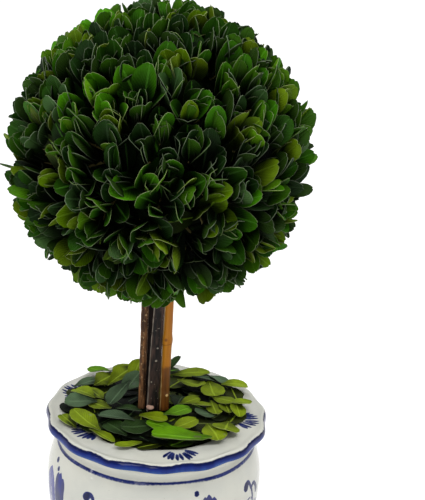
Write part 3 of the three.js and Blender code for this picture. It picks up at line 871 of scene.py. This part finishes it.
def leaf_finishes(name, upper, under, margin, rib=0.35, shine=0.08, blotches=0.6):
    """The finishes of one tint: an upper face with a paler midrib, fine side veins and small
    blotches, a duller underside with the midrib raised, and a pale margin. The faces darken
    towards the root as a painted shade, and all three parts take the painted shade of the
    point's painted light. The margin is pale partly in its own colour and partly as a painted
    highlight where the rim catches the light."""
    finishes = []
    upper, under, margin = paint(*upper), paint(*under), paint(*margin)
    for part, colour, strength in (("upper", upper, rib), ("under", under, 0.5 * rib)):
        finish = Finish(f"{name}_{part}", roughness=0.5, Specular_IOR_Level=shine)
        blade = finish.node("ShaderNodeUVMap", out="UV", uv_map="blade")
        run, across = finish.part(blade, "X"), abs(finish.part(blade, "Y") - 0.5) * 2
        midrib = 1 - across.step(0.03, 0.13)
        veins = finish.node("ShaderNodeMath", {0: (run * 2.2 - across * 0.9) * 34},
                            operation="SINE")
        cloud = finish.noise(240.0, 2.0)
        shade = 0.62 + 0.5 * finish.value_of("tone") + blotches * (cloud - 0.5) + 0.05 * veins
        # The point's painted light darkens the leaf: a painted shade where it lies deep.
        shade = shade * (0.06 + 0.94 * finish.value_of("painted_light"))
        # A painted shade darkens each leaf towards its root, where the bases lie under other
        # leaves.
        body = finish.scaled(colour, shade * (0.45 + 0.55 * run.step(0, 0.6)))
        light = tuple(min(1.0, c * 1.7 + 0.02) for c in colour)
        finish.colour(finish.mix(midrib * strength, body, light))
        finish.roughness(0.4 + 0.2 * cloud)
        finish.relief(midrib * (0.9 if part == "under" else -0.6) + 0.18 * veins, 0.00025)
        finishes.append(finish)
    # The margin is pale partly in its own colour and partly as a painted highlight where the rim
    # catches the light, and it takes the same painted shade as the faces.
    pale_rim_finish = Finish(f"{name}_margin", roughness=0.7, Specular_IOR_Level=0.2)
    patch = pale_rim_finish.noise(300.0, 1.0)
    rim_tone = pale_rim_finish.mix(patch.step(0.35, 0.65), margin, tuple(0.6 * c for c in margin))
    pale_rim_finish.colour(pale_rim_finish.scaled(rim_tone, 0.15 + 0.85 * pale_rim_finish.value_of("painted_light")))
    return finishes + [pale_rim_finish]


def mound_top(out):
    """A quarter cosine from the crown down to a little under the heap's edge."""
    rise = np.cos(np.pi / 2 * np.clip(out / COVER_EDGE, 0, 1))
    return POT_HEIGHT + COVER_SIDE - BED_SINK + COVER_CROWN * rise


# What shows between the leaves is a bed, crumbly on top and nearly black: a painted shade for
# the shadow deep in the gaps.
BED_AROUND, BED_FOOT_Z = 240, 90.0
gap_shade = clouded("gap_painted_shade", 0.95, (260.0, 4.0), (0.4, 0.7), paint(4, 6, 4),
                 paint(20, 28, 14), 0.0015, Specular_IOR_Level=0.0)
bed_r = np.concatenate([[COVER_EDGE - 0.1, COVER_EDGE], np.linspace(COVER_EDGE - 0.2, 1, 60)])
bed_z = np.concatenate([[FILLING_TOP + GAP, BED_FOOT_Z], mound_top(bed_r[2:])])
bed = turned_points(bed_r, bed_z, BED_AROUND)
crumbs = lattice_noise(bed, 3.2, 61) + 0.5 * lattice_noise(bed, 1.5, 62)
bed[:, 2] += 0.8 * crumbs * (bed[:, 2] > BED_FOOT_Z + 0.5)
bed = np.vstack([bed, [[0, 0, FILLING_TOP + GAP], [0, 0, mound_top(0)]]])
bed_walls, caps = turned_faces(len(bed_r), BED_AROUND)
piece = mesh_piece("gap_shade_bed", bed, [bed_walls, caps], [gap_shade])
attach(piece, "root")
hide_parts("leaf_cover")

# The loose leaves, dealt out by the golden angle. The first lie along the heap's edge and the
# next round the stems. A leaf whose tip passes the reach or stands among the stems is turned
# at random, a few times over, and left out if that doesn't help.
HEAP_LEAVES, EDGE_LEAVES, COLLAR_LEAVES, TRIES = 170, 40, 30, 16
# The second number is the share of colour the loose leaves keep under their painted shade.
ON_THEIR_FACES, LOOSE_LEAF_PAINTED_SHADE = 0.25, 0.42
GOLDEN = np.pi * (3 - np.sqrt(5))
INNERMOST, EDGE_ROOM, TIP_ROOM = 5, 3, 8
# Where the leaves were brushed back from the rim: bearing, how far, and over what angle.
BRUSHED_BACK = ((-74, 10, 46), (-138, 7.5, 22), (-8, 6, 16), (156, 6, 14))


def reach_towards(bearing):
    """How far the heap lies over the rim: its reach less each depth times exp(-(turn/angle)^4)."""
    reach = COVER_REACH
    for middle_at, depth, angle in BRUSHED_BACK:
        off = wrapped(bearing - np.radians(middle_at)) / np.radians(angle)
        reach = reach - depth * np.exp(-off ** 4)
    return reach


dice = np.random.default_rng(20418)
order = np.arange(HEAP_LEAVES)
bearing_of = order * GOLDEN + dice.normal(0, 0.05, HEAP_LEAVES)
length = dice.uniform(14.5, 19.5, HEAP_LEAVES)
width = length * dice.uniform(0.5, 0.62, HEAP_LEAVES)
pitch = dice.normal(0.04, 0.12, HEAP_LEAVES)
shares = np.sqrt((order + 0.5) / HEAP_LEAVES)
distance = INNERMOST + (reach_towards(bearing_of) - INNERMOST - EDGE_ROOM) * shares
heading = bearing_of + dice.normal(0, 1.1, HEAP_LEAVES)
edge, collar = order < EDGE_LEAVES, (order >= EDGE_LEAVES) & (order < EDGE_LEAVES + COLLAR_LEAVES)
distance = np.where(edge, reach_towards(bearing_of) - dice.uniform(4.5, 9, HEAP_LEAVES), distance)
distance = np.where(collar, dice.uniform(7.5, 13, HEAP_LEAVES), distance)
hand = dice.choice([-1, 1], HEAP_LEAVES)
beside = bearing_of + hand * dice.uniform(1.1, 1.8, HEAP_LEAVES)
heading = np.where(edge | collar, beside, heading)
root = np.stack([distance * np.cos(bearing_of), distance * np.sin(bearing_of)], 1)
for attempt in range(TRIES):
    tip = root + length[:, None] * np.stack([np.cos(heading), np.sin(heading)], 1)
    out = np.linalg.norm(tip, axis=1)
    wrong = (out > reach_towards(np.arctan2(tip[:, 1], tip[:, 0]))) | (out < TIP_ROOM)
    heading = np.where(wrong, bearing_of + dice.uniform(-3, 3, HEAP_LEAVES), heading)
fits = ~wrong
face = dice.normal(0, 0.16, (HEAP_LEAVES, 3)) + [0, 0, 1]
face[dice.random(HEAP_LEAVES) < ON_THEIR_FACES] *= -1

# The leaves on top are laid from the left round the front to the back: root x and y,
# heading and pitch in degrees, length, width, and tint (0 lime, 1 green, 2 deep, 3 grey).
LAID = np.array([
    (-30, -24, -30, 0, 14, 5, 0), (-6, -32, -160, 0, 13, 5, 0), (-36, -22, 120, 0, 15, 8, 0),
    (-13, -29, 130, 5, 15, 10, 2), (1, -21, -170, -5, 17, 12, 2), (-10, -19, 150, -5, 19, 10, 3),
    (-7, -11, 150, -5, 14, 7, 2), (-21, -7, 140, -5, 14, 8, 0), (-28, 0, 180, 5, 15, 12, 3),
    (-25, -26, 130, 0, 21, 11, 0), (-25, 3, 120, 0, 16, 9, 0), (-29, 1, 130, 5, 16, 10, 0),
    (-40, 19, 30, 10, 13, 9, 3), (-30, 18, 50, 15, 13, 11, 0), (-24, 18, 40, 25, 16, 10, 0),
    (-13, 17, 70, 25, 14, 9, 0), (-18, 9, 50, 10, 15, 10, 3), (-13, 8, -130, -25, 16, 11, 3),
    (10, -23, 170, 0, 15, 8, 1), (-8, -14, -10, 0, 13, 11, 0), (3, -13, 40, 0, 16, 9, 1),
    (7, -24, 40, 0, 15, 9, 0), (28, -3, -150, 10, 13, 9, 3), (23, -15, -70, 0, 15, 12, 0),
    (25, -29, 180, 0, 27, 12, 1), (33, -10, -100, 0, 14, 13, 0), (25, 7, -80, -5, 13, 8, 0),
    (31, 9, -80, -5, 13, 8, 0), (36, 8, -80, 0, 13, 8, 0), (32, 3, 20, 5, 13, 7, 0),
    (25, 11, -40, 0, 13, 8, 0), (10, 0, 40, -5, 12, 7, 0), (16, -3, 30, -5, 11, 5, 0),
    (24, 25, -80, 0, 16, 12, 0), (9, 27, -30, 0, 15, 9, 0), (16, 28, -10, 5, 12, 6, 3),
    (23, 32, -30, 0, 12, 8, 3), (5, 33, 10, 5, 20, 9, 0), (30, 22, 10, 15, 13, 10, 0),
    (4, 33, 60, 40, 12, 5, 2), (-8, 37, 170, 0, 15, 9, 0),
    (-22, 29, 150, 0, 14, 8, 1), (-5, 26, 120, 0, 14, 8, 3)], float)
root = np.vstack([root, LAID[:, :2]])
root = np.column_stack([root, np.full(len(root), POT_HEIGHT)])
heading = np.append(heading, np.radians(LAID[:, 2]))
pitch = np.append(pitch, np.radians(LAID[:, 3]))
along = round_axis(np.cos(pitch), heading, np.sin(pitch))
face = np.vstack([face, dice.normal(0, 0.1, (len(LAID), 3)) + [0, 0, 1]])
length, width = np.append(length, LAID[:, 4]), np.append(width, LAID[:, 5])
count, STEM_ROOM = len(root), 0.75
made = leaf_points(root, along, face, length, width, dice.uniform(0.05, 0.3, count),
                   dice.normal(0.1, 0.32, count), dice.uniform(-0.05, 0.2, count),
                   dice.uniform(0, 0.08, count), dice.normal(0, 0.08, count))
stem_gap = np.min([np.linalg.norm(made[..., :2] - low, axis=-1).min((1, 2, 3)) - radii[0]
                   for low, _, radii in STEMS.values()], 0)
fits = np.append(fits, np.ones(len(LAID), bool)) & (stem_gap > STEM_ROOM)

# The pile is kept as the height of its top over a grid of small squares.
CELL, CELLS = 1.0, 112


def squares_under(points):
    """Which squares of the pile the points stand over."""
    return tuple(np.clip(points[..., axis] / CELL + CELLS / 2, 0, CELLS - 1).astype(int)
                 for axis in (0, 1))


def highest_near(heights):
    """The highest value in each square and the eight round it."""
    for axis in (0, 1):
        heights = np.max([np.roll(heights, step, axis) for step in (-1, 0, 1)], 0)
    return heights


def evened(heights):
    """Each square takes half of its own value and a quarter of each neighbour's, twice."""
    for axis in (0, 1, 0, 1):
        heights = heights / 2 + (np.roll(heights, 1, axis) + np.roll(heights, -1, axis)) / 4
    return heights


def denser(grid, times):
    """The same grid of points with more of them along both of its sides, in straight steps."""
    for _ in range(2):
        at = np.linspace(0, len(grid) - 1, times * len(grid))
        k = np.minimum(at.astype(int), len(grid) - 2)
        grid = (grid[k] + (grid[k + 1] - grid[k]) * (at - k)[:, None, None]).swapaxes(0, 1)
    return grid


def ground(out):
    """What the leaves lie on, by the distance from the axis: the mound, then straight on to
    the flange and up to the lip."""
    return np.maximum(mound_top(out), np.interp(
        out, [COVER_EDGE - 5, FLANGE_INNER + 1, RIM_RADIUS - 1.6],
        [mound_top(COVER_EDGE - 5), POT_HEIGHT - FLANGE_DROP + 0.15, POT_HEIGHT + 0.4]))


middles = (np.arange(CELLS) + 0.5 - CELLS / 2) * CELL
square_ground = ground(np.hypot(middles[:, None], middles[None, :]))
pile = square_ground.copy()
STIFFNESS, LEAF_GAP, SETTLED = 0.5, 0.15, 0.15
stiff = np.clip(5 * np.abs(pitch) - 0.6, STIFFNESS, 1)


def lay(numbers):
    """Lays leaves on the pile one by one. Each bends to it and keeps a part of its own form,
    half where it lies and all of it where it stands up. Then it is part of the pile."""
    for number in numbers:
        leaf = made[number]
        under = evened(highest_near(pile))[squares_under(leaf[1])]
        own = leaf[1, ..., 2] - under
        own = stiff[number] * (own - own.min())
        leaf[..., 2] += under + own + LEAF_GAP - leaf[1, ..., 2]
        top = denser(leaf[0], 4)
        np.maximum.at(pile, squares_under(top), top[..., 2])


# The loose leaves come first and settle to a part of their height. The laid ones follow.
lay(np.flatnonzero(fits[:HEAP_LEAVES]))
below = ground(np.linalg.norm(made[:HEAP_LEAVES, ..., :2], axis=-1))
made[:HEAP_LEAVES, ..., 2] = below + SETTLED * (made[:HEAP_LEAVES, ..., 2] - below)
pile = square_ground + SETTLED * (pile - square_ground)
lay(HEAP_LEAVES + np.flatnonzero(fits[HEAP_LEAVES:]))

HEAP_TINTS = {
    "heap_lime": ((118, 138, 16), (120, 136, 60), (160, 174, 88)),
    "heap_green": ((94, 144, 8), (104, 124, 62), (130, 152, 84)),
    "heap_deep": ((44, 68, 28), (66, 84, 54), (84, 100, 74)),
    "heap_grey": ((74, 96, 68), (80, 96, 76), (96, 108, 86)),
}
# Dark leaves lie in drifts: left of the front, among the stems, behind them to the right,
# and at the back on either side.
middle = made.mean((1, 2, 3))
drift = np.max([np.exp(-((middle[:, 0] - x) / wide) ** 2 - ((middle[:, 1] - y) / deep) ** 2)
                for x, y, wide, deep in ((-13, -20, 12, 15), (-2, 2, 11, 11), (11, 17, 8, 13),
                                         (26, 33, 9, 6), (-31, 34, 7, 7))], 0)
dark = dice.random(count) < 0.3 + 0.7 * drift
kind = np.where(dark, dice.choice([2, 3], count, p=[0.6, 0.4]),
                dice.choice([0, 1], count, p=[0.82, 0.18]))
kind[-len(LAID):] = LAID[:, 6]
tones = dice.uniform(0.1, 1.0, count)
# A leaf is painted darker where it lies deep under the top of the pile: a painted shadow.
# The loose leaves get a painted shade all over, darker still when others cover most of them,
# and the laid ones a milder painted shadow.
depth = highest_near(pile)[squares_under(made)] - made[..., 2]
covered = (depth > 0.5).mean((1, 2, 3))[:, None, None, None]
painted_light = (1 - 0.8 * smooth_step(depth, 0.35, 1.8)) * (1 - 0.85 * smooth_step(covered, 0.2, 0.7))
painted_light[:HEAP_LEAVES] *= LOOSE_LEAF_PAINTED_SHADE
painted_light[HEAP_LEAVES:] = 1 - 0.85 * smooth_step(depth[HEAP_LEAVES:], 0.6, 2.8)
for number, (name, tints) in enumerate(HEAP_TINTS.items()):
    mine = fits & (kind == number)
    piece = leaf_piece(name, made[mine], tones[mine], painted_light[mine],
                       leaf_finishes(name, *tints, rib=0.6, shine=0.06, blotches=0.9))


# FOLIAGE BALL
# Preserved box twigs are pushed close together into a foam ball, nearly black as a painted
# shade, so that only the leaves show. Pairs of opposite leaves stand along each shoot, every
# pair a quarter turn on from the one below. The clipped leaves end on a sphere.
BALL_CENTRE = np.array([BALL_CENTRE_X, 0, BALL_CENTRE_Z])
BALL_REACH, CORE_RADIUS = 66.7, 43.0
SHOOT_START, SHOOT_END = 41.0, 54.5
MAIN_TWIGS, SHOOTS_A_TWIG = 106, 3
# No shoot points straight down, where the stems are.
LOWEST_WAY = -0.992
# Each pair of leaves: how far along the shoot, its angle off it, and the leaves' length.
LEAF_PAIRS = ((0.22, 0.62, 24.0), (0.58, 0.44, 23.0), (0.93, 0.24, 20.0))
LEAF_LIFT = 0.9

dice = np.random.default_rng(20417)
order = np.arange(MAIN_TWIGS)
up_down = 1 - (2 * order + 1) / MAIN_TWIGS
level = np.sqrt(1 - up_down ** 2)
out = round_axis(level, order * GOLDEN, up_down)
out = unit(out + dice.normal(0, 0.03, out.shape))


def across_of(way):
    """Two directions square to each other and to each way."""
    hint = np.where(np.abs(way[:, 2:]) < 0.9, [[0, 0, 1.0]], [[1.0, 0, 0]])
    one = unit(np.cross(hint, way))
    return one, np.cross(way, one)


# Each twig forks in the core into shoots that stand round it.
one, two = across_of(out)
fork = np.repeat(dice.uniform(0, 2 * np.pi, MAIN_TWIGS), SHOOTS_A_TWIG)
fork += np.tile(round_turn(SHOOTS_A_TWIG), MAIN_TWIGS)
fork += dice.normal(0, 0.25, len(fork))
lean = dice.normal(0.12, 0.04, len(fork))
one, two, main = (np.repeat(v, SHOOTS_A_TWIG, axis=0) for v in (one, two, out))
sideways = one * np.cos(fork)[:, None] + two * np.sin(fork)[:, None]
tip_way = unit(main + lean[:, None] * sideways)
free = tip_way[:, 2] > LOWEST_WAY
main, tip_way = main[free], tip_way[free]
shoots = len(tip_way)
start = SHOOT_START * (0.5 * main + 0.5 * tip_way)
end = tip_way * (SHOOT_END + dice.normal(0, 1.1, shoots))[:, None]
way = unit(end - start + dice.normal(0, 0.9, (shoots, 3)))
reach = np.linalg.norm(end - start, axis=1)

# Pairs of leaves, which turn up to the light above the ball's underside. Each leaf is
# shortened to end inside the reach, and none under the ball comes close to the stems.
STEMS_AT, STEMS_ROOM, UNDERSIDE, SHORTEST = [-0.5, -0.6], 8.2, 30, 7
one, two = across_of(way)
spin = dice.uniform(0, 2 * np.pi, shoots)
lift = LEAF_LIFT * smooth_step(tip_way[:, 2:], -0.8, 0.4)
leaves = {key: [] for key in ("root", "along", "face", "length", "shoot")}
for pair, (at, spread, long) in enumerate(LEAF_PAIRS):
    for hand in (-1, 1):
        around = spin + pair * np.pi / 2 + dice.normal(0, 0.3, shoots)
        side = one * np.cos(around)[:, None] + two * np.sin(around)[:, None]
        angle = (spread + dice.normal(0, 0.24, shoots))[:, None]
        leaves["root"].append(start + way * (reach * at)[:, None])
        leaf_way = way * np.cos(angle) + hand * side * np.sin(angle) + [0, 0, 1] * lift
        leaves["along"].append(unit(leaf_way))
        leaves["face"].append(way * np.sin(angle) - hand * side * np.cos(angle))
        leaves["length"].append(long * dice.uniform(0.82, 1.14, shoots))
        leaves["shoot"].append(np.arange(shoots))
leaves = {key: np.concatenate(rows) for key, rows in leaves.items()}
root, along, face = leaves["root"], leaves["along"], leaves["face"]
outward = (root * along).sum(1)
end_at = BALL_REACH + 1.0 - np.abs(dice.normal(0, 3.2, len(root)))
room = np.sqrt(outward ** 2 + end_at ** 2 - (root ** 2).sum(1)) - outward
length = np.minimum(leaves["length"], room)
width = np.minimum(leaves["length"], length * 1.2) * dice.uniform(0.42, 0.52, len(root))
made = leaf_points(root + BALL_CENTRE, along, face, length, width,
                   dice.uniform(0.05, 0.3, len(root)), dice.normal(-0.12, 0.25, len(root)),
                   dice.uniform(-0.05, 0.3, len(root)), dice.uniform(0, 0.09, len(root)),
                   dice.normal(0, 0.2, len(root)))
low = made[..., 2].min((1, 2, 3)) < BALL_CENTRE_Z - UNDERSIDE
stem_gap = np.linalg.norm(made[..., :2] - STEMS_AT, axis=-1).min((1, 2, 3))
keep = (length > SHORTEST) & ~(low & (stem_gap < STEMS_ROOM))

# The tints are dealt out by the shoot, with a few leaves of their own. Each has its share of
# the shoots and the colours of its upper face, underside and margin. Leaves darken inwards
# as a painted shade.
FULL_PAINTED_SHADE_AT, NO_PAINTED_SHADE_AT, ODD_LEAVES = 56.5, 67.5, 0.25
BALL_TINTS = {
    "ball_black_green": (0.24, (20, 46, 8), (36, 60, 14), (92, 104, 80)),
    "ball_deep_green": (0.27, (33, 72, 4), (46, 84, 8), (100, 116, 78)),
    "ball_green": (0.17, (50, 104, 4), (60, 104, 8), (108, 124, 78)),
    "ball_bright_green": (0.07, (70, 134, 8), (82, 128, 14), (122, 140, 80)),
    "ball_olive": (0.16, (86, 118, 4), (90, 116, 10), (120, 134, 74)),
    "ball_grey_green": (0.09, (56, 88, 42), (62, 92, 46), (104, 120, 92)),
}
odds = [share for share, *_ in BALL_TINTS.values()]
kind = dice.choice(len(odds), shoots, p=odds)[leaves["shoot"]]
own = dice.random(len(kind)) < ODD_LEAVES
kind = np.where(own, dice.choice(len(odds), len(kind), p=odds), kind)
tones = dice.uniform(0.3, 1.0, len(kind))
# Painted shade: leaves darken with their depth in the ball.
painted_light = smooth_step(np.linalg.norm(made - BALL_CENTRE, axis=-1), FULL_PAINTED_SHADE_AT, NO_PAINTED_SHADE_AT)
for number, (name, (_, *tints)) in enumerate(BALL_TINTS.items()):
    mine = keep & (kind == number)
    piece = leaf_piece(name, made[mine], tones[mine], painted_light[mine], leaf_finishes(name, *tints))
    if number == 0:
        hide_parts("foliage_ball")

# The shoots are thin green-brown rods from the fork to just past the last pair.
ROD_SIDES, ROD_STEPS, ROD_RADIUS, ROD_TAPER = 6, 4, 0.75, 0.35
rod = clouded("shoot_bark", 0.7, (700.0, 2.0), None, paint(62, 60, 26), paint(104, 92, 44),
              0.0002)
t = np.linspace(0, 1, ROD_STEPS)[None, :, None, None]
turn = round_turn(ROD_SIDES)[:, None]
ring = one[:, None, None] * np.cos(turn) + two[:, None, None] * np.sin(turn)
run = way * reach[:, None]
rods = start[:, None, None] + t * run[:, None, None] + ring * (ROD_RADIUS - ROD_TAPER * t)
ends = np.stack([start, start + run], 1)
rods = np.concatenate([rods.reshape(shoots, -1, 3), ends], axis=1) + BALL_CENTRE
rod_walls, caps = turned_faces(ROD_STEPS, ROD_SIDES)
first = np.arange(shoots)[:, None, None] * rods.shape[1]
piece = mesh_piece("ball_shoots", rods.reshape(-1, 3), [
    (rod_walls[None] + first).reshape(-1, 4), (caps[None] + first).reshape(-1, 3)], [rod])
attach(piece, "root")

# The foam ball under them, wrapped in moss, nearly black: a painted shade for the deep gaps
# between the leaves.
CORE_AROUND, CORE_ROWS = 160, 80
moss = clouded("moss_painted_shade", 1.0, (300.0, 4.0), (0.4, 0.75), paint(5, 8, 5), paint(22, 34, 16),
               0.002, Specular_IOR_Level=0.0)
polar = np.linspace(np.pi, 0, CORE_ROWS + 2)[1:-1]
core = turned_points(np.sin(polar), np.cos(polar), CORE_AROUND)
core = np.vstack([core, [[0, 0, -1], [0, 0, 1]]])
lumps = lattice_noise(core * 46 + 100, 6.0, 81) + 0.5 * lattice_noise(core * 46, 2.5, 82)
core = core * (CORE_RADIUS + 1.2 * lumps)[:, None] + BALL_CENTRE
core_walls, caps = turned_faces(CORE_ROWS, CORE_AROUND)
piece = mesh_piece("moss_shade_core", core, [core_walls, caps], [moss])
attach(piece, "root")
